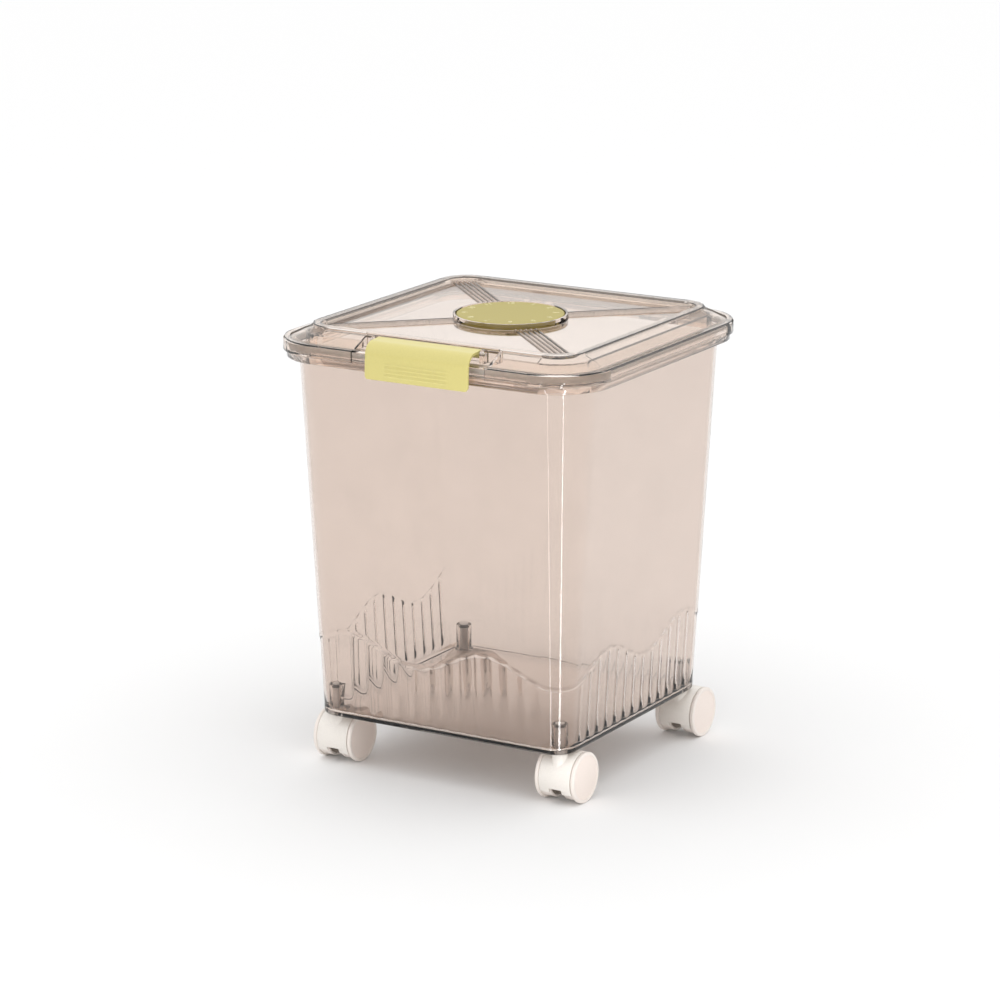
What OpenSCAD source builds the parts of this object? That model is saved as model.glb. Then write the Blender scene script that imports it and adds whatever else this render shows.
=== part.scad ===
// Wheeled pet food bin: a clear tapered tub on four twin-wheel casters, with a
// clear hinged lid, a curved front latch and a turning date dial in the lid.
// Every tub and lid section is one core rectangle grown outwards by a reach r.
// Height h is measured up from the tub's underside.

/* [Tub] */
// Half length of the core rectangle along X
core_x = 107; // [90:1:130]
// Half length of the core rectangle along Y
core_y = 104; // [90:1:130]
// Corner reach of the wall at the tub's underside
foot_r = 19.5; // [18:0.5:22]
// Corner reach of the wall at its top
wall_top_r = 38; // [36:0.5:39]
// Height of the tub from its underside to the top of its rim
tub_h = 333; // [280:1:400]
// Thickness of the tub's walls
wall_t = 2.4; // [2:0.1:3]
// Thickness of the tub's floor
floor_t = 2.6; // [2:0.1:4]

/* [Rim and lid] */
// Outer reach of the tub's rim
rim_r = 49; // [48:0.5:49.5]
// How far the rim's skirt hangs down
rim_drop = 9.5; // [7:0.5:10]
// Outer reach of the lid's skirt
lid_r = 52; // [52:0.5:54]
// Thickness of the lid
lid_t = 2; // [1.6:0.1:2.4]
// Height of the lid's flange above the rim
lid_gap = 6; // [5:0.5:7]
// Outer reach of the raised lip round the top panel
lip_r = 25.6; // [25:0.2:26]
// Height of the lip above the flange
dome_h = 11.4; // [10:0.2:12]

/* [Dial] */
// Radius of the date dial
dial_r = 47.5; // [40:0.5:48]
// Height of the date dial
dial_h = 8.5; // [7:0.5:9]

/* [Latch] */
// Width of the latch
latch_w = 102; // [90:1:104]
// Width of the recess for the latch
recess_w = 132; // [124:1:140]
// Thickness of the latch
latch_t = 2.4; // [2:0.1:3]
// How far the latch hangs below its pivot
latch_drop = 28.5; // [26:0.5:30]

/* [Casters] */
// Distance between caster stems along X
stem_x = 227; // [220:1:228]
// Distance between caster stems along Y
stem_y = 218; // [210:1:220]
// Radius of the wheels
wheel_r = 22.5; // [20:0.5:23]
// Overall width over both wheels
caster_w = 39; // [36:1:42]
// Distance from the stem back to the axle
trail = 12; // [11:0.5:13]

/* [Hidden] */
$fn = 64;
fit = 0.05;             // radial running clearance round a pin or axle
hold = 0.02;            // radial gap round a pin that stays put

tub_z = 2 * wheel_r + 1.5;              // the tub's underside above the floor
inner_foot_r = foot_r - wall_t;
inner_top_r = wall_top_r - wall_t;

// Rear hinge, just below and behind the lid's skirt
knuckle_r = 4.5;
pin_r = 1.5;
hinge_y = core_y + lid_r + knuckle_r;
hinge_h = tub_h - 5.5;
hinge_x = 62;           // middle of each hinge
lug_w = 14;             // width of the lid's lug
knuckle_w = 9;          // width of each tub knuckle
knuckle_gap = 0.4;
pin_len = lug_w + 2 * (knuckle_w + knuckle_gap);

// Lid heights
skirt_h = tub_h - 3;
flange_h = tub_h + lid_gap + lid_t;
lip_h = flange_h + dome_h;
panel_h = lip_h - 4.4;
plug_r = 32;            // reach of the skirt that fits inside the tub
plug_drop = 12;
dome_r = 46;            // reach where the dome meets the flange
lip_inner_r = 18.4;
panel_r = 16.6;

// Latch pivot and recess
recess_wall_y = -(core_y + lip_r + 1.9);
pivot_y = recess_wall_y - 4.5;
pivot_h = lip_h - 4.9;
barrel_r = 3.6;
cheek_in = latch_w / 2 + 1;
cheek_w = 4;
latch_out = core_y + lid_r + latch_t;   // outward reach of the latch's face
grip_r = 0.9;
grip_step = 3.2;
front_reach = latch_out + grip_r - 0.5;

// Puts the origin midway between the latch's face and the hinge's back
origin_y = (front_reach - hinge_y - knuckle_r) / 2;
tub_at = [0, origin_y, tub_z];

// Dial
collar_r = 50.4;
dial_top_h = lip_h + 0.6;
well_floor_h = dial_top_h - dial_h - 1;
pivot_r = 4;

// Casters
socket_r = 7;
socket_bore_r = 5;
socket_h = 26;
stem_r = 4;
axle_r = 2.5;
hood_out_r = wheel_r - 0.1;
hood_in_r = wheel_r - 1.5;
drum_r = hood_in_r - 0.4;
web_half = 5.2;
slot_drop = 8;          // how far below the axle the web ends
drum_in = web_half + 0.5;
face_in = caster_w / 2 - 3.7;
boss_top = tub_z - 1;
stem_low = wheel_r + 9;

// ---------- Shared shapes ----------

// Sweeps a closed outline of [reach, height] round the core rectangle
module sweep(outline) {
    for (c = [[1, 1, 0], [-1, 1, 90], [-1, -1, 180], [1, -1, 270]])
        translate([c[0] * core_x, c[1] * core_y, 0])
            rotate([0, 0, c[2]])
                rotate_extrude(angle = 90)
                    polygon(outline);
    for (s = [[core_x, core_y, 0], [core_y, core_x, 90], [core_x, core_y, 180], [core_y, core_x, 270]])
        rotate([0, 0, s[2]])
            translate([s[0], s[1], 0])
                rotate([90, 0, 90])
                    mirror([0, 0, 1])
                        linear_extrude(2 * s[0])
                            polygon(outline);
}

// A flat slab over the core rectangle, from height h1 to h2
module core_slab(h1, h2) {
    translate([-core_x, -core_y, h1])
        cube([2 * core_x, 2 * core_y, h2 - h1]);
}

module x_rod(r, x1, x2, y, z) {
    translate([x1, y, z])
        rotate([0, 90, 0])
            cylinder(r = r, h = x2 - x1);
}

// ---------- Tub ----------

tub_outline = [
    [0, 0], [foot_r, 0], [wall_top_r, tub_h - rim_drop], [wall_top_r, tub_h - 2],
    [rim_r - 2, tub_h - 2], [rim_r - 2, tub_h - rim_drop], [rim_r, tub_h - rim_drop],
    [rim_r, tub_h - 1], [rim_r - 1, tub_h], [inner_top_r, tub_h],
    [inner_top_r, tub_h - rim_drop], [inner_foot_r, floor_t], [0, floor_t]
];

module knuckle(x) {
    x_rod(knuckle_r, x, x + knuckle_w, hinge_y, hinge_h);
    translate([x, core_y + rim_r - 1, hinge_h - knuckle_r])
        cube([knuckle_w, lid_r - rim_r + knuckle_r + 1, knuckle_r]);
}

module bin_body() {
    color([0.85, 0.78, 0.74, 0.5])
        translate(tub_at)
            difference() {
                union() {
                    sweep(tub_outline);
                    core_slab(0, floor_t);
                    for (x = [-1, 1], y = [-1, 1])
                        translate([x * stem_x / 2, y * stem_y / 2, 0])
                            cylinder(r = socket_r, h = socket_h);
                    for (x = [-hinge_x, hinge_x]) {
                        knuckle(x - lug_w / 2 - knuckle_gap - knuckle_w);
                        knuckle(x + lug_w / 2 + knuckle_gap);
                    }
                }
                for (x = [-1, 1], y = [-1, 1])
                    translate([x * stem_x / 2, y * stem_y / 2, -1])
                        cylinder(r = socket_bore_r, h = socket_h + 2);
                for (x = [-hinge_x, hinge_x])
                    x_rod(pin_r + hold, x - pin_len, x + pin_len, hinge_y, hinge_h);
            }
}

module hinge_pin(x) {
    color("silver")
        x_rod(pin_r, x - pin_len / 2, x + pin_len / 2, origin_y + hinge_y, tub_z + hinge_h);
}

module hinge_pin_left() {
    hinge_pin(-hinge_x);
}

module hinge_pin_right() {
    hinge_pin(hinge_x);
}

// ---------- Lid ----------

flange_low = flange_h - lid_t;
lid_outline = [
    [lid_r - lid_t, skirt_h], [lid_r, skirt_h], [lid_r, flange_h - 1.5], [lid_r - 1.5, flange_h],
    [dome_r, flange_h], [lip_r + 1.4, lip_h - 2.2], [lip_r, lip_h], [lip_inner_r, lip_h],
    [panel_r, panel_h], [0, panel_h], [0, panel_h - lid_t], [panel_r + 1.4, panel_h - lid_t],
    [lip_inner_r + 1.4, lip_h - lid_t], [lip_r - 1.2, lip_h - lid_t], [lip_r, lip_h - 4],
    [dome_r - 0.5, flange_low], [lid_r - lid_t, flange_low]
];
plug_outline = [
    [plug_r - lid_t, flange_low - plug_drop], [plug_r, flange_low - plug_drop],
    [plug_r, flange_h + 3], [plug_r - lid_t, flange_h + 4]
];

module recess_block() {
    translate([-recess_w / 2, -(core_y + dome_r + 4), flange_h])
        cube([recess_w, recess_wall_y + core_y + dome_r + 4, dome_h + 5]);
}

module latch_cheek(x) {
    x_rod(barrel_r + 0.8, x, x + cheek_w, pivot_y, pivot_h);
    translate([x, pivot_y - barrel_r - 0.8, flange_h - 1])
        cube([cheek_w, 2 * barrel_r + 1.6, pivot_h - flange_h + 1]);
}

module lid_lug(x) {
    x_rod(knuckle_r, x - lug_w / 2, x + lug_w / 2, hinge_y, hinge_h);
    translate([x - lug_w / 2, core_y + lid_r - 1, hinge_h])
        cube([lug_w, knuckle_r + 1, 8]);
}

module lid_shell() {
    difference() {
        union() {
            sweep(lid_outline);
            sweep(plug_outline);
            core_slab(panel_h - lid_t, panel_h);
        }
        recess_block();
        // The skirt stops at both sides of the recess, so that the latch passes it
        translate([-recess_w / 2, -(core_y + lid_r + 1), skirt_h - 1])
            cube([recess_w, lid_t + 1.5, 2 * lid_gap]);
        // Well for the dial
        translate([0, 0, well_floor_h])
            cylinder(r = collar_r - 2, h = 30);
    }
}

module lid() {
    color([0.86, 0.80, 0.76, 0.5])
        translate(tub_at)
            difference() {
                union() {
                    lid_shell();
                    // Walls round the latch recess
                    translate([-recess_w / 2, recess_wall_y, flange_h - 1])
                        cube([recess_w, lid_t, lip_h - flange_h + 1]);
                    for (x = [-recess_w / 2 - lid_t, recess_w / 2])
                        intersection() {
                            translate([x, -(core_y + dome_r), flange_h - 1])
                                cube([lid_t, dome_r - lip_r + 2, dome_h + 1]);
                            dome_fill();
                        }
                    for (x = [-cheek_in - cheek_w, cheek_in])
                        latch_cheek(x);
                    for (x = [-hinge_x, hinge_x])
                        lid_lug(x);
                    // Collar and floor of the dial's well
                    translate([0, 0, well_floor_h - lid_t])
                        difference() {
                            cylinder(r = collar_r, h = dial_top_h - well_floor_h + lid_t);
                            translate([0, 0, lid_t])
                                cylinder(r = collar_r - 2, h = 30);
                        }
                }
                x_rod(pin_r + hold, -recess_w / 2 + 1, recess_w / 2 - 1, pivot_y, pivot_h);
                for (x = [-hinge_x, hinge_x])
                    x_rod(pin_r + fit, x - lug_w, x + lug_w, hinge_y, hinge_h);
                translate([0, 0, well_floor_h - lid_t - 1])
                    cylinder(r = pivot_r + hold, h = lid_t + 2);
            }
}

// Everything under the dome's outer surface, for trimming the recess walls
module dome_fill() {
    translate([-core_x, 0, 0])
        rotate([90, 0, 90])
            mirror([1, 0, 0])
                linear_extrude(2 * core_x)
                    polygon([[core_y + lip_inner_r, flange_h - 1], [core_y + dome_r, flange_h - 1],
                             [core_y + dome_r, flange_h], [core_y + lip_r + 1.4, lip_h - 2.2],
                             [core_y + lip_r, lip_h], [core_y + lip_inner_r, lip_h]]);
}

module lid_seal() {
    color([0.92, 0.90, 0.87])
        translate(tub_at)
            sweep([[40, tub_h + 0.3], [44, tub_h + 0.3], [44, flange_low], [40, flange_low]]);
}

module latch_pin() {
    color("silver")
        x_rod(pin_r, -cheek_in - cheek_w, cheek_in + cheek_w, origin_y + pivot_y, tub_z + pivot_h);
}

module dial_pivot() {
    color([0.9, 0.88, 0.85])
        translate([0, origin_y, tub_z + well_floor_h - lid_t]) {
            translate([0, 0, -1.6])
                cylinder(r = 7.5, h = 1.6);
            cylinder(r = pivot_r, h = lid_t + 5);
        }
}

// ---------- Latch ----------

bend_r = 12;
latch_top = pivot_h + barrel_r;
bend_out = latch_out - 0.8;

// Face of the latch, inset by t: along the top, round the bend and down
function latch_face(t) = concat(
    [[-pivot_y, latch_top - t]],
    [for (a = [90 : -10 : 0])
        [bend_out - bend_r + (bend_r - t) * cos(a), latch_top - 0.6 - bend_r + (bend_r - t) * sin(a)]],
    [[latch_out - t, pivot_h - latch_drop]]
);
latch_inner = latch_face(latch_t);
latch_outline = concat(latch_face(0), [for (i = [len(latch_inner) - 1 : -1 : 0]) latch_inner[i]]);

module latch() {
    color([0.90, 0.86, 0.55])
        translate(tub_at)
            difference() {
                union() {
                    translate([-latch_w / 2, 0, 0])
                        rotate([90, 0, 90])
                            mirror([1, 0, 0])
                                linear_extrude(latch_w)
                                    polygon(latch_outline);
                    x_rod(barrel_r, -latch_w / 2, latch_w / 2, pivot_y, pivot_h);
                    // Bead that snaps against the rim's skirt
                    x_rod(1.2, -latch_w / 2 + 12, latch_w / 2 - 12, -(core_y + rim_r + 1.6), pivot_h - latch_drop + 3.2);
                    translate([-latch_w / 2 + 12, -(core_y + lid_r + 0.5), pivot_h - latch_drop + 2])
                        cube([latch_w - 24, lid_r - rim_r - 1.1, 2.4]);
                    // Grip ridges
                    for (i = [0 : 3])
                        x_rod(grip_r, -latch_w * 0.3, latch_w * 0.3, -latch_out + 0.5, pivot_h - latch_drop + 3 + i * grip_step);
                }
                x_rod(pin_r + fit, -latch_w, latch_w, pivot_y, pivot_h);
            }
}

// ---------- Date dial ----------

month_r = 0.84 * dial_r;

module date_dial() {
    color([0.84, 0.80, 0.45])
        translate([0, origin_y, tub_z + dial_top_h - dial_h])
            difference() {
                cylinder(r = dial_r, h = dial_h);
                // Hollow underside, with a hub left round the pivot
                translate([0, 0, -1])
                    difference() {
                        cylinder(r = dial_r - 2.4, h = dial_h - 1.4);
                        cylinder(r = pivot_r + 3, h = dial_h);
                    }
                translate([0, 0, -1])
                    cylinder(r = pivot_r + fit, h = 6.4);
                // One dimple for each month
                for (a = [0 : 30 : 330])
                    rotate([0, 0, a])
                        translate([month_r, 0, dial_h - 0.4])
                            cylinder(r = 1.2, h = 1);
            }
}

// ---------- Casters: sx and sy pick the corner ----------

module at_stem(sx, sy) {
    translate([sx * stem_x / 2, origin_y + sy * stem_y / 2, 0])
        children();
}

module at_axle(sx, sy) {
    translate([sx * stem_x / 2, origin_y + sy * stem_y / 2 + trail, wheel_r])
        children();
}

module stem(sx, sy) {
    color("silver")
        at_stem(sx, sy)
            translate([0, 0, stem_low + 0.5])
                cylinder(r = stem_r, h = tub_z + socket_h - stem_low - 0.5);
}

module grip_ring(sx, sy) {
    color([0.25, 0.24, 0.23])
        at_stem(sx, sy)
            translate([0, 0, tub_z + socket_h - 3])
                difference() {
                    cylinder(r = socket_bore_r - hold, h = 2.6);
                    translate([0, 0, -1])
                        cylinder(r = stem_r + hold, h = 5);
                }
}

// Hood over the wheels, from below the front round to the back
module hood() {
    rotate([90, 0, 90])
        rotate([0, 0, -20])
            rotate_extrude(angle = 233)
                translate([hood_in_r, -face_in + 0.5])
                    square([hood_out_r - hood_in_r, 2 * face_in - 1]);
}

module housing(sx, sy) {
    color([0.98, 0.96, 0.92])
        difference() {
            union() {
                at_axle(sx, sy) {
                    hood();
                    x_rod(hood_in_r + 0.5, -web_half, web_half, 0, 0);
                }
                at_stem(sx, sy)
                    translate([0, 0, stem_low])
                        cylinder(r = socket_r, h = boss_top - stem_low);
            }
            // Room for the wheels, and an open slot between them under the hub
            at_axle(sx, sy) {
                x_rod(hood_in_r, web_half, face_in + 1, 0, 0);
                x_rod(hood_in_r, -face_in - 1, -web_half, 0, 0);
                translate([-web_half - 1, -caster_w, -2 * wheel_r])
                    cube([2 * web_half + 2, 2 * caster_w, 2 * wheel_r - slot_drop]);
                x_rod(axle_r + hold, -caster_w, caster_w, 0, 0);
            }
            at_stem(sx, sy)
                translate([0, 0, stem_low])
                    cylinder(r = stem_r + fit, h = 40);
        }
}

module axle(sx, sy) {
    color("silver")
        at_axle(sx, sy)
            x_rod(axle_r, -caster_w / 2 + 3, caster_w / 2 - 3, 0, 0);
}

// Half section of a wheel: drum under the hood, then the outer face with a raised ring
wheel_outline = [
    [axle_r + fit, drum_in], [6, drum_in], [6, face_in], [drum_r - 2, face_in],
    [drum_r - 2, drum_in], [drum_r, drum_in], [drum_r, face_in], [wheel_r - 0.6, face_in],
    [wheel_r, face_in + 0.6], [wheel_r, caster_w / 2 - 0.8], [wheel_r - 0.8, caster_w / 2],
    [wheel_r - 3, caster_w / 2], [wheel_r - 3, caster_w / 2 - 1.7], [axle_r + fit, caster_w / 2 - 1.7]
];

module wheel(sx, sy, side) {
    color([0.97, 0.94, 0.90])
        at_axle(sx, sy)
            rotate([0, side * 90, 0])
                rotate_extrude()
                    polygon(wheel_outline);
}

module cap(sx, sy, side) {
    color([0.96, 0.90, 0.87])
        at_axle(sx, sy)
            rotate([0, side * 90, 0])
                translate([0, 0, caster_w / 2 - 1.7])
                    cylinder(r = wheel_r - 3 - hold, h = 1.1);
}

bin_body();
hinge_pin_left();
hinge_pin_right();
lid();
lid_seal();
latch_pin();
dial_pivot();
latch();
date_dial();
stem(-1, -1);  // front_left_stem
grip_ring(-1, -1);  // front_left_grip_ring
housing(-1, -1);  // front_left_housing
axle(-1, -1);  // front_left_axle
wheel(-1, -1, -1);  // front_left_wheel_a
cap(-1, -1, -1);  // front_left_cap_a
wheel(-1, -1, 1);  // front_left_wheel_b
cap(-1, -1, 1);  // front_left_cap_b
stem(1, -1);  // front_right_stem
grip_ring(1, -1);  // front_right_grip_ring
housing(1, -1);  // front_right_housing
axle(1, -1);  // front_right_axle
wheel(1, -1, -1);  // front_right_wheel_a
cap(1, -1, -1);  // front_right_cap_a
wheel(1, -1, 1);  // front_right_wheel_b
cap(1, -1, 1);  // front_right_cap_b
stem(-1, 1);  // back_left_stem
grip_ring(-1, 1);  // back_left_grip_ring
housing(-1, 1);  // back_left_housing
axle(-1, 1);  // back_left_axle
wheel(-1, 1, -1);  // back_left_wheel_a
cap(-1, 1, -1);  // back_left_cap_a
wheel(-1, 1, 1);  // back_left_wheel_b
cap(-1, 1, 1);  // back_left_cap_b
stem(1, 1);  // back_right_stem
grip_ring(1, 1);  // back_right_grip_ring
housing(1, 1);  // back_right_housing
axle(1, 1);  // back_right_axle
wheel(1, 1, -1);  // back_right_wheel_a
cap(1, 1, -1);  // back_right_cap_a
wheel(1, 1, 1);  // back_right_wheel_b
cap(1, 1, 1);  // back_right_cap_b
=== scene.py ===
"""Looks of the wheeled pet food bin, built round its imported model.

Sizes of the design are in millimetres. place(x, y, h) turns them into the
shared frame, in metres: x and y from the middle of the bin, and h up from the
tub's underside.
"""
import math
from collections import namedtuple

import bmesh
import bpy
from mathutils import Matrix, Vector


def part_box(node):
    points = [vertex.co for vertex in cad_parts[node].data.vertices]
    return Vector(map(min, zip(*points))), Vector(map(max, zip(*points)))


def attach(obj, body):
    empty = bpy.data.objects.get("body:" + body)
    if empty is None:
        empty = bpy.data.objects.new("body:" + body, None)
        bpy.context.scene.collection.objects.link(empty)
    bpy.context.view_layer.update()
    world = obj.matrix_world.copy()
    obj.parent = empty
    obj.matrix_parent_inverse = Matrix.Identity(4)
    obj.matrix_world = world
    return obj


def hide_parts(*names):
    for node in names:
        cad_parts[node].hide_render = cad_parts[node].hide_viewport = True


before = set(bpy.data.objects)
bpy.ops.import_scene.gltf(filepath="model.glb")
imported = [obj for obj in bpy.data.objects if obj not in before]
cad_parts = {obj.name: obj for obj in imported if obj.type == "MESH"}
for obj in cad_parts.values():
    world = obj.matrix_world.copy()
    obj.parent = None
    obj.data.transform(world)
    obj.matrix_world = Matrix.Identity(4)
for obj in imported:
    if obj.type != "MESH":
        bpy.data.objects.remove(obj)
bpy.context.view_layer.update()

MM = 0.001

# The bin's middle and the tub's underside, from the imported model
SEAL_LOW, SEAL_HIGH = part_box("lid_seal")
MID_Y = (SEAL_LOW[1] + SEAL_HIGH[1]) / 2
TUB_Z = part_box("bin_body")[0][2]

# Tub: half lengths of the core rectangle, and how far past it the wall and the rim reach
CORE_X, CORE_Y = 107.0, 104.0
FOOT_R, WALL_TOP_R, RIM_R = 19.5, 38.0, 49.0
WALL_T, FLOOR_T, RIM_T = 2.4, 2.6, 2.0
TUB_H, RIM_DROP = 333.0, 9.5
WALL_TOP_H = TUB_H - RIM_DROP

# Points on each flat side and round each corner, and the share of a quarter that half a corner takes
SIDE_STEPS, CORNER_STEPS, CORNER_SHARE = 108, 16, 0.06

# Fluted band round the foot of the tub, up to a wavy edge with a fine bead
FLUTE_PITCH, FLUTE_DEPTH, FLUTE_SINK = 15.9, 1.15, 0.35
FLUTE_START, FLUTE_STEP = 3.0, 1.25
FADE_AT_EDGE, FADE_AT_FOOT, FADE_AT_CORNER = 2.2, 5.0, 6.0
WAVE_MID, WAVE_SWING, WAVE_CRESTS, WAVE_START = 70.0, 11.0, 7, 0.13
BEAD_RISE, BEAD_WIDTH = 0.55, 1.2

# Caster sockets and rear hinge
SOCKET_X, SOCKET_Y = 113.5, 109.0
SOCKET_R, SOCKET_BORE, SOCKET_H, SOCKET_FLARE = 7.0, 5.0, 26.0, 1.5
HINGE_X, HINGE_Y, HINGE_H = 62.0, 160.5, 327.5
LUG_W, KNUCKLE_W, KNUCKLE_R, KNUCKLE_GAP, KNUCKLE_BORE = 14.0, 9.0, 4.5, 0.4, 1.52

# Ribs on the lid's panel, in a fan of five from the dial's collar to each corner
PANEL_H, COLLAR_R = 348.0, 50.4
RIB_PITCH, RIB_HALF_W, RIB_RISE, RIB_ROOT = 4.6, 1.5, 1.1, 0.5
RIB_REACH, RIB_END_GAP, RIB_STAGGER = 15.5, 2.0, 4.2

# Latch: a plate that runs out from its pivot, round a bend and down
LATCH_HALF, LATCH_T, LATCH_DROP = 51.0, 2.4, 28.5
PIVOT_Y, PIVOT_H, BARREL_R, BARREL_BORE = 136.0, 347.5, 3.6, 1.56
LATCH_OUT, LATCH_LEAN, BEND_R = 158.4, 0.8, 12.0
LATCH_STEP, END_ROUND = 1.5, 3.0
GRIP_START, GRIP_PITCH, GRIP_RISE, GRIP_WIDTH, GRIP_SHARE = 4.5, 3.3, 0.8, 0.75, 0.62
SNAP_HALF, SNAP_OUT, SNAP_IN = 39.0, 156.4, 150.9

# Date dial
DIAL_R, DIAL_H, DIAL_TOP, DIAL_T, HUB_R, HUB_BORE = 47.5, 8.5, 353.0, 2.4, 7.0, 4.05
MONTH_R, MONTH_SIZE, MONTH_RISE = 39.5, 7.5, 0.25

CORNERS = ("front_left", "front_right", "back_left", "back_right")


def place(x, y, h):
    return Vector((x * MM, MID_Y + y * MM, TUB_Z + h * MM))


def mix(a, b, t):
    return a + (b - a) * t


def smooth(t):
    t = min(1.0, max(0.0, t))
    return t * t * (3 - 2 * t)


# ---------- Materials ----------


def new_material(name):
    mat = bpy.data.materials.new(name)
    mat.use_nodes = True
    shader = mat.node_tree.nodes["Principled BSDF"]
    return mat, mat.node_tree, shader


def link_noise(tree, shader, scale, low, high, bump):
    """Noise drives the roughness between low and high, and a bump of the given strength."""
    coord = tree.nodes.new("ShaderNodeTexCoord")
    noise = tree.nodes.new("ShaderNodeTexNoise")
    noise.inputs["Scale"].default_value = scale
    noise.inputs["Detail"].default_value = 3
    tree.links.new(coord.outputs["Object"], noise.inputs["Vector"])
    spread = tree.nodes.new("ShaderNodeMapRange")
    spread.inputs["To Min"].default_value = low
    spread.inputs["To Max"].default_value = high
    tree.links.new(noise.outputs["Fac"], spread.inputs["Value"])
    tree.links.new(spread.outputs["Result"], shader.inputs["Roughness"])
    fine = tree.nodes.new("ShaderNodeBump")
    fine.inputs["Strength"].default_value = bump
    fine.inputs["Distance"].default_value = 0.0002
    tree.links.new(noise.outputs["Fac"], fine.inputs["Height"])
    tree.links.new(fine.outputs["Normal"], shader.inputs["Normal"])
    return noise


def tint_noise(tree, shader, noise, dark, light):
    """The colour drifts a little between dark and light with the noise."""
    ramp = tree.nodes.new("ShaderNodeValToRGB")
    ramp.color_ramp.elements[0].position = 0.3
    ramp.color_ramp.elements[0].color = (*dark, 1)
    ramp.color_ramp.elements[1].position = 0.7
    ramp.color_ramp.elements[1].color = (*light, 1)
    tree.links.new(noise.outputs["Fac"], ramp.inputs["Fac"])
    tree.links.new(ramp.outputs["Color"], shader.inputs["Base Color"])


def shade(colour, factor):
    return tuple(min(1.0, c * factor) for c in colour)


def clear_plastic(name, colour):
    mat, tree, shader = new_material(name)
    shader.inputs["Transmission Weight"].default_value = 1.0
    shader.inputs["IOR"].default_value = 1.46
    noise = link_noise(tree, shader, 25, 0.0, 0.02, 0.004)
    tint_noise(tree, shader, noise, shade(colour, 0.985), shade(colour, 1.015))
    return mat


def moulded_plastic(name, colour, rough=0.35, coat=0.15, transmission=0.0):
    mat, tree, shader = new_material(name)
    shader.inputs["Coat Weight"].default_value = coat
    shader.inputs["Coat Roughness"].default_value = 0.15
    shader.inputs["Transmission Weight"].default_value = transmission
    noise = link_noise(tree, shader, 900, rough - 0.05, rough + 0.06, 0.08)
    tint_noise(tree, shader, noise, shade(colour, 0.97), shade(colour, 1.02))
    return mat


def steel(name):
    mat, tree, shader = new_material(name)
    shader.inputs["Metallic"].default_value = 1.0
    noise = link_noise(tree, shader, 700, 0.22, 0.4, 0.05)
    tint_noise(tree, shader, noise, (0.55, 0.55, 0.56), (0.72, 0.72, 0.72))
    return mat


TUB_GLASS = clear_plastic("clear_tub_plastic", (0.83, 0.75, 0.70))
RIM_GLASS = clear_plastic("clear_rim_plastic", (0.93, 0.89, 0.865))
# Darker base glass: partly the deeper colour of thicker plastic, partly painted shade from under the tub
BASE_GLASS_WITH_PAINTED_SHADE = clear_plastic("clear_base_plastic_with_painted_shade", (0.72, 0.63, 0.575))
SOCKET_GLASS = clear_plastic("clear_socket_plastic", (0.95, 0.92, 0.90))
LID_GLASS = clear_plastic("clear_lid_plastic", (0.945, 0.87, 0.81))
LIME = moulded_plastic("lime_plastic", (0.69, 0.61, 0.22))
DIAL_LIME = moulded_plastic("dial_lime_plastic", (0.435, 0.365, 0.085), 0.45, 0.05)
LIME_MARK = moulded_plastic("lime_mark", (0.90, 0.84, 0.50))
CASTER = moulded_plastic("caster_plastic", (0.95, 0.90, 0.84))
WHEEL = moulded_plastic("wheel_plastic", (0.95, 0.87, 0.81), 0.4)
CAP = moulded_plastic("cap_plastic", (0.97, 0.86, 0.79), 0.42)
WHITE = moulded_plastic("white_plastic", (0.88, 0.85, 0.80))
BLACK = moulded_plastic("dark_ring_plastic", (0.05, 0.045, 0.04), 0.5)
STEEL = steel("brushed_steel")
SILICONE = moulded_plastic("silicone", (0.86, 0.80, 0.75), 0.45, 0.0, transmission=0.55)


# ---------- Mesh helpers ----------


class Shape:
    """Collects vertices and faces for one mesh."""

    def __init__(self):
        self.verts = []
        self.faces = []

    def ring(self, points):
        start = len(self.verts)
        self.verts.extend(points)
        return list(range(start, start + len(points)))

    def bridge(self, a, b):
        n = len(a)
        for i in range(n):
            j = (i + 1) % n
            self.faces.append((a[i], a[j], b[j], b[i]))

    def skin(self, rings):
        """Joins the rings in turn, and closes the first and the last with a face."""
        for a, b in zip(rings, rings[1:]):
            self.bridge(a, b)
        self.faces.append(tuple(rings[0]))
        self.faces.append(tuple(rings[-1]))

    def box(self, low, high):
        levels = ((x, y, z) for z in (low.z, high.z) for y in (low.y, high.y) for x in (low.x, high.x))
        v = self.ring([Vector(corner) for corner in levels])
        for face in ((0, 2, 3, 1), (4, 5, 7, 6), (0, 1, 5, 4), (2, 6, 7, 3), (0, 4, 6, 2), (1, 3, 7, 5)):
            self.faces.append(tuple(v[i] for i in face))

    def lathe(self, profile, centre, axis="z", steps=64):
        """Turns a closed (radius, along) outline in mm round an axis through centre. Radius 0 is a pole."""
        rings = []
        for r, t in profile:
            points = []
            for i in range(1 if r == 0 else steps):
                a = 2 * math.pi * i / steps
                u, v = r * math.cos(a), r * math.sin(a)
                points.append(centre + MM * (Vector((u, v, t)) if axis == "z" else Vector((t, u, v))))
            rings.append(self.ring(points))
        pairs = list(zip(rings, rings[1:]))
        if profile[0][0] != 0:
            pairs.append((rings[-1], rings[0]))
        for a, b in pairs:
            if len(a) == 1:
                self.faces.extend((a[0], b[i], b[(i + 1) % steps]) for i in range(steps))
            elif len(b) == 1:
                self.faces.extend((a[i], a[(i + 1) % steps], b[0]) for i in range(steps))
            else:
                self.bridge(a, b)

    def build(self, name, material, angle):
        """The finished object. Edges sharper than angle, in degrees, stay sharp."""
        mesh = bpy.data.meshes.new(name)
        mesh.from_pydata([tuple(v) for v in self.verts], [], self.faces)
        obj = bpy.data.objects.new(name, mesh)
        bpy.context.scene.collection.objects.link(obj)
        mesh.materials.append(material)
        tidy_mesh(mesh)
        mesh.shade_smooth()
        mesh.set_sharp_from_angle(angle=math.radians(angle))
        return obj


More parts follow.
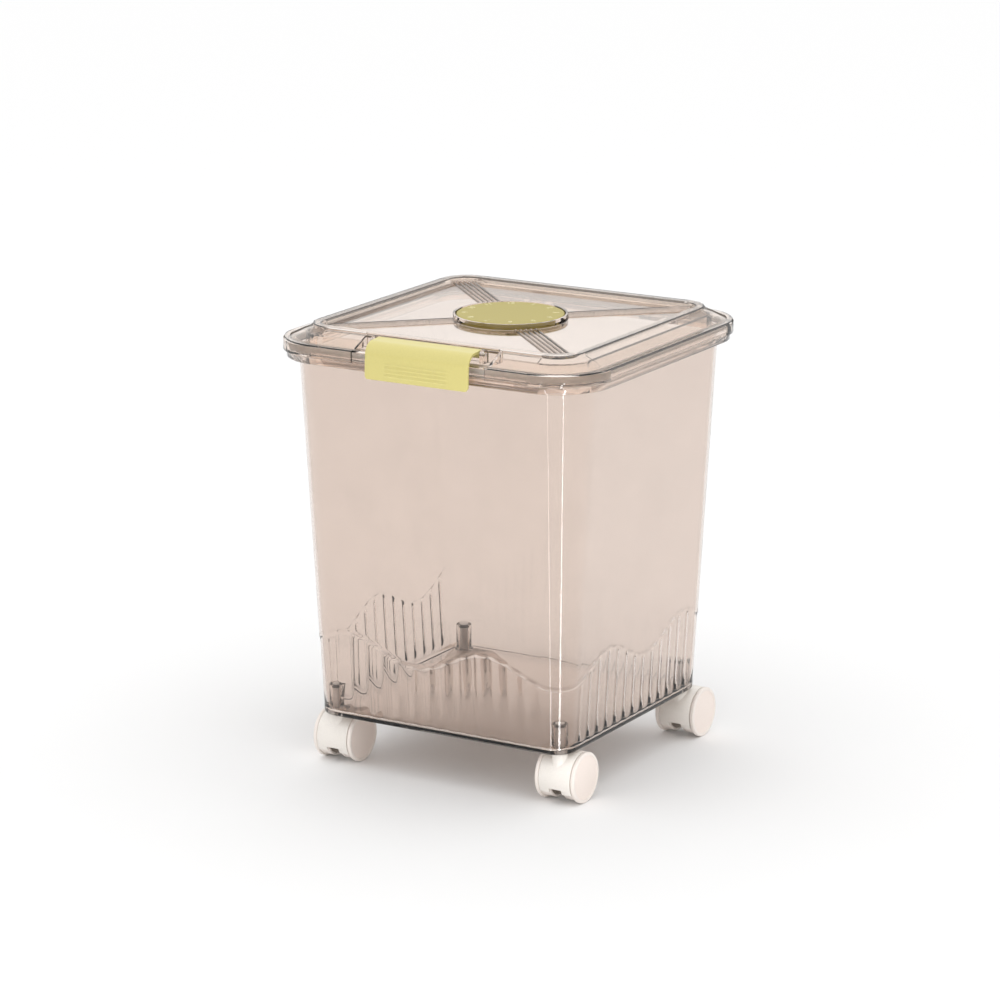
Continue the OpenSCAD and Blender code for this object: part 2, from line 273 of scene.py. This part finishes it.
def tidy_mesh(mesh):
    """Merges points that coincide and turns every face outwards."""
    bm = bmesh.new()
    bm.from_mesh(mesh)
    bmesh.ops.remove_doubles(bm, verts=bm.verts, dist=1e-6)
    bmesh.ops.recalc_face_normals(bm, faces=bm.faces)
    bm.to_mesh(mesh)
    bm.free()


# ---------- Tub ----------

# A base point on the core rectangle, the outward direction there, how far round it is from 0 to 4, and, on a
# flat side, the place along that side and half the side's length
Station = namedtuple("Station", "x y out_x out_y way along half")


def stations():
    """Stations all the way round, from the front-left end of the front side towards +X."""
    spots = []
    corners = [(-CORE_X, -CORE_Y), (CORE_X, -CORE_Y), (CORE_X, CORE_Y), (-CORE_X, CORE_Y)]
    for side in range(4):
        ax, ay = corners[side]
        bx, by = corners[(side + 1) % 4]
        half = math.hypot(bx - ax, by - ay) / 2
        turn = math.radians(90 * side - 90)
        out_x, out_y = math.cos(turn), math.sin(turn)
        for i in range(SIDE_STEPS):
            t = i / SIDE_STEPS
            way = side + mix(CORNER_SHARE, 1 - CORNER_SHARE, t)
            spots.append(Station(mix(ax, bx, t), mix(ay, by, t), out_x, out_y, way, (2 * t - 1) * half, half))
        for i in range(CORNER_STEPS):
            t = i / CORNER_STEPS
            a = turn + math.pi / 2 * t
            way = side + mix(1 - CORNER_SHARE, 1 + CORNER_SHARE, t)
            spots.append(Station(bx, by, math.cos(a), math.sin(a), way, None, None))
    return spots


def wave_height(way):
    return WAVE_MID + WAVE_SWING * math.cos(2 * math.pi * (way - WAVE_START) * WAVE_CRESTS / 4)


def flute(spot, h):
    """How far the fluted band moves the outer wall in or out, in millimetres."""
    top = wave_height(spot.way)
    bead = BEAD_RISE * math.exp(-((h - top) / BEAD_WIDTH) ** 2)
    strength = smooth((top - h) / FADE_AT_EDGE + 0.5) * smooth((h - FADE_AT_FOOT) / FADE_AT_FOOT)
    ripple = 0.0
    if spot.along is not None:
        scallop = abs(math.cos(math.pi * spot.along / FLUTE_PITCH))
        fade = smooth((spot.half - abs(spot.along)) / FADE_AT_CORNER)
        ripple = fade * FLUTE_DEPTH * (scallop - FLUTE_SINK)
    return bead + strength * (ripple - FLUTE_SINK)


def wall_reach(h, inset=0.0):
    return mix(FOOT_R, WALL_TOP_R, min(1.0, h / WALL_TOP_H)) - inset


def rim_outline():
    """(reach, height) points from under the rim, down and up its skirt and over to its inner edge."""
    under = RIM_R - RIM_T
    inner = WALL_TOP_R - WALL_T
    return [
        (WALL_TOP_R + 1, TUB_H - 2.4), (WALL_TOP_R + 2, TUB_H - 2), (under - 0.6, TUB_H - 2),
        (under, TUB_H - 2.6), (under, WALL_TOP_H + 0.5), (under + 0.5, WALL_TOP_H),
        (RIM_R - 0.5, WALL_TOP_H), (RIM_R, WALL_TOP_H + 0.5), (RIM_R, TUB_H - 1.2),
        (RIM_R - 0.4, TUB_H - 0.4), (RIM_R - 1.2, TUB_H), (inner + 0.8, TUB_H), (inner, TUB_H - 0.8),
    ]


def tint_by_height(tub):
    """The floor is deeper in colour than the walls, partly for its thicker plastic and partly as painted
    shade for the dim floor under the tub seen through it; the thin rim is paler.
    """
    tub.data.materials.append(RIM_GLASS)
    tub.data.materials.append(BASE_GLASS_WITH_PAINTED_SHADE)
    for face in tub.data.polygons:
        h = (face.center.z - TUB_Z) / MM
        if h > WALL_TOP_H - 0.5:
            face.material_index = 1
        # Painted shade: the flat floor faces get the darker base glass
        elif h < FLOOR_T + 0.2 and abs(face.normal.z) > 0.7:
            face.material_index = 2


def build_tub():
    shape = Shape()
    spots = stations()

    def loop(reach, h, fluted=False):
        points = []
        for s in spots:
            r = reach + (flute(s, h) if fluted else 0)
            points.append(place(s.x + s.out_x * r, s.y + s.out_y * r, h))
        return shape.ring(points)

    foot = [(0, 0), (FOOT_R - 2.2, 0), (FOOT_R - 0.7, 0.4), (FOOT_R - 0.05, 1.6)]
    rings = [loop(r, h) for r, h in foot]
    h = FLUTE_START
    while h < WAVE_MID + WAVE_SWING + 6:
        rings.append(loop(wall_reach(h), h, fluted=True))
        h += FLUTE_STEP
    for h in (110, 150, 200, 250, 300, TUB_H - 16, TUB_H - 5):
        rings.append(loop(wall_reach(h), h))
    rings += [loop(r, h) for r, h in rim_outline()]
    for h in (WALL_TOP_H, 280, 220, 160, 100, 50, 20, 8):
        rings.append(loop(wall_reach(h, WALL_T), h))
    low = wall_reach(FLOOR_T, WALL_T)
    floor = [(low - 0.4, FLOOR_T + 3), (low - 1.6, FLOOR_T + 1), (low - 4, FLOOR_T), (0, FLOOR_T)]
    rings += [loop(r, h) for r, h in floor]
    shape.skin(rings)
    tub = shape.build("tub_shell", TUB_GLASS, angle=50)
    tint_by_height(tub)
    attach(tub, "bin")
    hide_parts("bin_body")


def build_tub_details():
    """The four caster sockets on the tub's floor, and the hinge knuckles behind its rim."""
    shape = Shape()
    flare = SOCKET_R + SOCKET_FLARE
    wall = [
        (SOCKET_BORE, 0.3), (SOCKET_BORE, SOCKET_H - 0.6), (SOCKET_BORE + 0.6, SOCKET_H),
        (SOCKET_R - 0.6, SOCKET_H), (SOCKET_R, SOCKET_H - 0.6), (SOCKET_R, 5), (flare, FLOOR_T), (flare, 0.3),
    ]
    for sx in (-1, 1):
        for sy in (-1, 1):
            shape.lathe(wall, place(sx * SOCKET_X, sy * SOCKET_Y, 0), steps=40)
    half = KNUCKLE_W / 2
    rod = [
        (KNUCKLE_BORE, -half), (KNUCKLE_R - 0.5, -half), (KNUCKLE_R, -half + 0.5),
        (KNUCKLE_R, half - 0.5), (KNUCKLE_R - 0.5, half), (KNUCKLE_BORE, half),
    ]
    for side in (-1, 1):
        for edge in (-1, 1):
            mid = side * HINGE_X + edge * (LUG_W / 2 + KNUCKLE_GAP + half)
            shape.lathe(rod, place(mid, HINGE_Y, HINGE_H), axis="x", steps=32)
            shape.box(place(mid - half + 0.2, CORE_Y + RIM_R - 0.4, HINGE_H - KNUCKLE_R),
                      place(mid + half - 0.2, HINGE_Y - 2, HINGE_H - 0.6))
    details = shape.build("tub_sockets_and_knuckles", SOCKET_GLASS, angle=35)
    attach(details, "bin")


# ---------- Lid ----------


def build_lid_ribs():
    shape = Shape()
    arc = [math.pi * i / 6 for i in range(6, -1, -1)]
    section = [(-RIB_HALF_W, -RIB_ROOT)]
    section += [(RIB_HALF_W * math.cos(a), RIB_RISE * math.sin(a)) for a in arc]
    section += [(RIB_HALF_W, -RIB_ROOT)]
    for sx in (-1, 1):
        for sy in (-1, 1):
            along = Vector((sx * (CORE_X + RIB_REACH), sy * (CORE_Y + RIB_REACH), 0))
            length = along.length
            along.normalize()
            across = Vector((-along.y, along.x, 0))
            for k in range(-2, 3):
                shift = k * RIB_PITCH
                first = math.sqrt((COLLAR_R + 0.5) ** 2 - shift ** 2)
                last = length - RIB_END_GAP - abs(k) * RIB_STAGGER
                rings = []
                for t in (first, last):
                    c = along * t + across * shift
                    points = [place(c.x + across.x * u, c.y + across.y * u, PANEL_H + v) for u, v in section]
                    rings.append(shape.ring(points))
                shape.skin(rings)
    ribs = shape.build("lid_ribs", LID_GLASS, angle=60)
    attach(ribs, "lid")


# ---------- Latch ----------


def grip_ridges(h, foot):
    ridges = (math.exp(-((h - (foot + GRIP_START + GRIP_PITCH * k)) / GRIP_WIDTH) ** 2) for k in range(4))
    return GRIP_RISE * sum(ridges)


def latch_face(inset, foot):
    """(reach, height, ridge) points of the plate's face, moved in by inset: out, round the bend and down."""
    top = PIVOT_H + BARREL_R
    bend_out = LATCH_OUT - LATCH_LEAN - BEND_R
    bend_h = top - 0.6 - BEND_R
    points = [(PIVOT_Y - 2.0 + i * LATCH_STEP, top - inset - 0.02 * i * i, 0.0) for i in range(6)]
    for i in range(17):
        a = math.radians(mix(88, 0, i / 16))
        r = BEND_R - inset
        points.append((bend_out + r * math.cos(a), bend_h + r * math.sin(a), 0.0))
    for i in range(1, 41):
        t = i / 40
        h = mix(bend_h, foot, t)
        points.append((mix(LATCH_OUT - LATCH_LEAN, LATCH_OUT, t) - inset, h, grip_ridges(h, foot)))
    return points


def build_latch():
    foot = PIVOT_H - LATCH_DROP
    outer, inner = latch_face(0, foot), latch_face(LATCH_T, foot)
    shape = Shape()
    rings = []
    for i in range(int(2 * LATCH_HALF / LATCH_STEP) + 1):
        x = -LATCH_HALF + i * LATCH_STEP
        # Both ends of the plate are rounded, and the ridges stop short of them
        near = min(1.0, (LATCH_HALF - abs(x)) / END_ROUND)
        pull = 1.0 - math.sqrt(max(0.0, 1 - (1 - near) ** 2))
        ridge_on = smooth((LATCH_HALF * GRIP_SHARE - abs(x)) / END_ROUND)
        ring = []
        for reach, h, ridge in outer:
            lift = 0.9 * pull * max(0.0, foot + END_ROUND - h)
            ring.append(place(x, -(reach + ridge * ridge_on - 0.5 * pull), h + lift))
        for reach, h, _ in reversed(inner):
            lift = 0.9 * pull * max(0.0, foot + END_ROUND - h)
            ring.append(place(x, -reach, h + lift))
        rings.append(shape.ring(ring))
    shape.skin(rings)
    end = LATCH_HALF - 0.3
    barrel = [
        (BARREL_BORE, -end), (BARREL_R - 0.4, -end), (BARREL_R, -end + 0.4),
        (BARREL_R, end - 0.4), (BARREL_R - 0.4, end), (BARREL_BORE, end),
    ]
    shape.lathe(barrel, place(0, -PIVOT_Y, PIVOT_H), axis="x", steps=40)
    shape.box(place(-SNAP_HALF, -SNAP_OUT, foot + 2.2), place(SNAP_HALF, -SNAP_IN, foot + 4.2))
    latch = shape.build("latch_plate", LIME, angle=50)
    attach(latch, "latch")
    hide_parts("latch")


# ---------- Dial ----------


def build_dial():
    low = DIAL_TOP - DIAL_H
    roof = DIAL_TOP - DIAL_T
    hub_roof = DIAL_TOP - 3.1
    profile = [
        (0, DIAL_TOP), (DIAL_R - 3.5, DIAL_TOP), (DIAL_R - 1.3, DIAL_TOP - 0.1),
        (DIAL_R - 0.4, DIAL_TOP - 0.5), (DIAL_R, DIAL_TOP - 1.4), (DIAL_R, low),
        (DIAL_R - DIAL_T, low), (DIAL_R - DIAL_T, roof), (HUB_R, roof), (HUB_R, low),
        (HUB_BORE, low), (HUB_BORE, hub_roof), (0, hub_roof),
    ]
    shape = Shape()
    shape.lathe(profile, place(0, 0, 0), steps=128)
    dial = shape.build("dial_cap", DIAL_LIME, angle=30)
    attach(dial, "dial")
    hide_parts("date_dial")
    for month in range(1, 13):
        build_month(month)


def build_month(month):
    """A raised number, with its foot towards the dial's middle. They run clockwise."""
    a = math.radians(120 - 30 * month)
    curve = bpy.data.curves.new("month_%d" % month, "FONT")
    curve.body = str(month)
    curve.size = MONTH_SIZE * MM
    curve.extrude = MONTH_RISE * MM
    curve.align_x = "CENTER"
    curve.align_y = "CENTER"
    curve.materials.append(LIME_MARK)
    mark = bpy.data.objects.new("month_%d" % month, curve)
    bpy.context.scene.collection.objects.link(mark)
    mark.location = place(MONTH_R * math.cos(a), MONTH_R * math.sin(a), DIAL_TOP)
    mark.rotation_euler = (0, 0, a - math.pi / 2)
    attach(mark, "dial")


# ---------- CAD parts that stay ----------


def dress(node, material, bevel):
    """Gives a CAD part its material, and rounds its edges by bevel, in metres."""
    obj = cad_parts[node]
    obj.data.materials.clear()
    obj.data.materials.append(material)
    weld = obj.modifiers.new("weld", "WELD")
    weld.merge_threshold = 0.00001
    rounding = obj.modifiers.new("round", "BEVEL")
    rounding.width = bevel
    rounding.segments = 2
    rounding.limit_method = "ANGLE"
    rounding.angle_limit = math.radians(35)
    rounding.harden_normals = True


def dress_cad_parts():
    dress("lid", LID_GLASS, 0.0004)
    dress("lid_seal", SILICONE, 0.0004)
    for node in ("hinge_pin_left", "hinge_pin_right", "latch_pin"):
        dress(node, STEEL, 0.0002)
    dress("dial_pivot", WHITE, 0.0003)
    for corner in CORNERS:
        dress(corner + "_stem", STEEL, 0.0003)
        dress(corner + "_grip_ring", BLACK, 0.0002)
        dress(corner + "_housing", CASTER, 0.0004)
        dress(corner + "_axle", STEEL, 0.0002)
        for side in "ab":
            dress(corner + "_wheel_" + side, WHEEL, 0.0004)
            dress(corner + "_cap_" + side, CAP, 0.0003)


# ---------- Stage, lights and camera ----------

VIEW_AZIMUTH = math.radians(30.58)
VIEW_ELEVATION = math.radians(14.59)
VIEW_DISTANCE = 3.626
VIEW_TARGET = place(-30.7, 33.9, 172.1)
VIEW_LENS = 145.8

FLOOR_HALF = 12.0
STRIP_MIDDLE, STRIP_LENGTH, STRIP_HEIGHT = 0.66, 1.05, 0.002
WORLD_STRENGTH = 1.1
HORIZON_TINT = (0.12, 0.10, 0.085)


def direction(azimuth, elevation):
    flat = math.cos(elevation)
    return Vector((math.sin(azimuth) * flat, -math.cos(azimuth) * flat, math.sin(elevation)))


def make_camera():
    data = bpy.data.cameras.new("camera")
    data.sensor_width = 36
    data.lens = VIEW_LENS
    data.clip_end = 50
    cam = bpy.data.objects.new("camera", data)
    bpy.context.scene.collection.objects.link(cam)
    back = direction(VIEW_AZIMUTH, VIEW_ELEVATION)
    cam.location = VIEW_TARGET + back * VIEW_DISTANCE
    cam.rotation_mode = "QUATERNION"
    cam.rotation_quaternion = (-back).to_track_quat("-Z", "Y")
    bpy.context.scene.camera = cam


def area_light(name, location, rotation, size, size_y, energy):
    data = bpy.data.lights.new(name, "AREA")
    data.shape = "RECTANGLE"
    data.size = size
    data.size_y = size_y
    data.energy = energy
    lamp = bpy.data.objects.new(name, data)
    bpy.context.scene.collection.objects.link(lamp)
    lamp.location = location
    lamp.rotation_euler = rotation
    lamp.visible_camera = False
    lamp.visible_transmission = False


def top_softbox():
    location = Vector((0.3, -0.4, 2.2))
    target = Vector((0, 0, 0.2))
    rotation = (target - location).to_track_quat("-Z", "Z").to_euler()
    area_light("top_softbox", location, rotation, 1.6, 1.6, 5)


def floor_strip(name, azimuth, width, energy):
    """A long narrow light on the floor, running away from the tub's front-right corner and shining up.

    The tapered walls mirror it as one thin upright line on the rounded corner.
    """
    away = direction(math.radians(azimuth), 0)
    location = place(CORE_X, -CORE_Y, 0) + away * STRIP_MIDDLE
    location.z = STRIP_HEIGHT
    rotation = (math.pi, 0, math.atan2(away.y, away.x) - math.pi / 2)
    area_light(name, location, rotation, width, STRIP_LENGTH, energy)


def make_world():
    """A white studio, dark below and just over the horizon, so that clear edges draw thin dark lines."""
    world = bpy.data.worlds.new("studio")
    world.use_nodes = True
    tree = world.node_tree
    background = tree.nodes["Background"]
    background.inputs["Strength"].default_value = WORLD_STRENGTH
    coord = tree.nodes.new("ShaderNodeTexCoord")
    split = tree.nodes.new("ShaderNodeSeparateXYZ")
    ramp = tree.nodes.new("ShaderNodeValToRGB")
    tree.links.new(coord.outputs["Generated"], split.inputs["Vector"])
    tree.links.new(split.outputs["Z"], ramp.inputs["Fac"])
    tree.links.new(ramp.outputs["Color"], background.inputs["Color"])
    ramp.color_ramp.elements[0].position = 0.10
    ramp.color_ramp.elements[0].color = (*HORIZON_TINT, 1)
    ramp.color_ramp.elements[1].position = 0.22
    ramp.color_ramp.elements[1].color = (1, 1, 1, 1)
    bpy.context.scene.world = world


def make_floor():
    mesh = bpy.data.meshes.new("floor")
    corners = [(x * FLOOR_HALF, y * FLOOR_HALF, 0) for x, y in ((-1, -1), (1, -1), (1, 1), (-1, 1))]
    mesh.from_pydata(corners, [], [(0, 1, 2, 3)])
    floor = bpy.data.objects.new("floor", mesh)
    bpy.context.scene.collection.objects.link(floor)
    mat, tree, shader = new_material("pale_floor")
    link_noise(tree, shader, 6, 0.7, 0.8, 0.0)
    shader.inputs["Base Color"].default_value = (0.93, 0.93, 0.93, 1)
    shader.inputs["Specular IOR Level"].default_value = 0.1
    mesh.materials.append(mat)


def make_stage():
    make_floor()
    make_world()
    top_softbox()
    floor_strip("strip_near", 45, 0.03, 1.8)
    floor_strip("strip_near_side", 4, 0.02, 0.6)
    bpy.context.scene.view_settings.view_transform = "Standard"
    bpy.context.scene.cycles.transmission_bounces = 16
    bpy.context.scene.cycles.max_bounces = 18


make_camera()
make_stage()
build_tub()
build_tub_details()
build_lid_ribs()
build_latch()
build_dial()
dress_cad_parts()
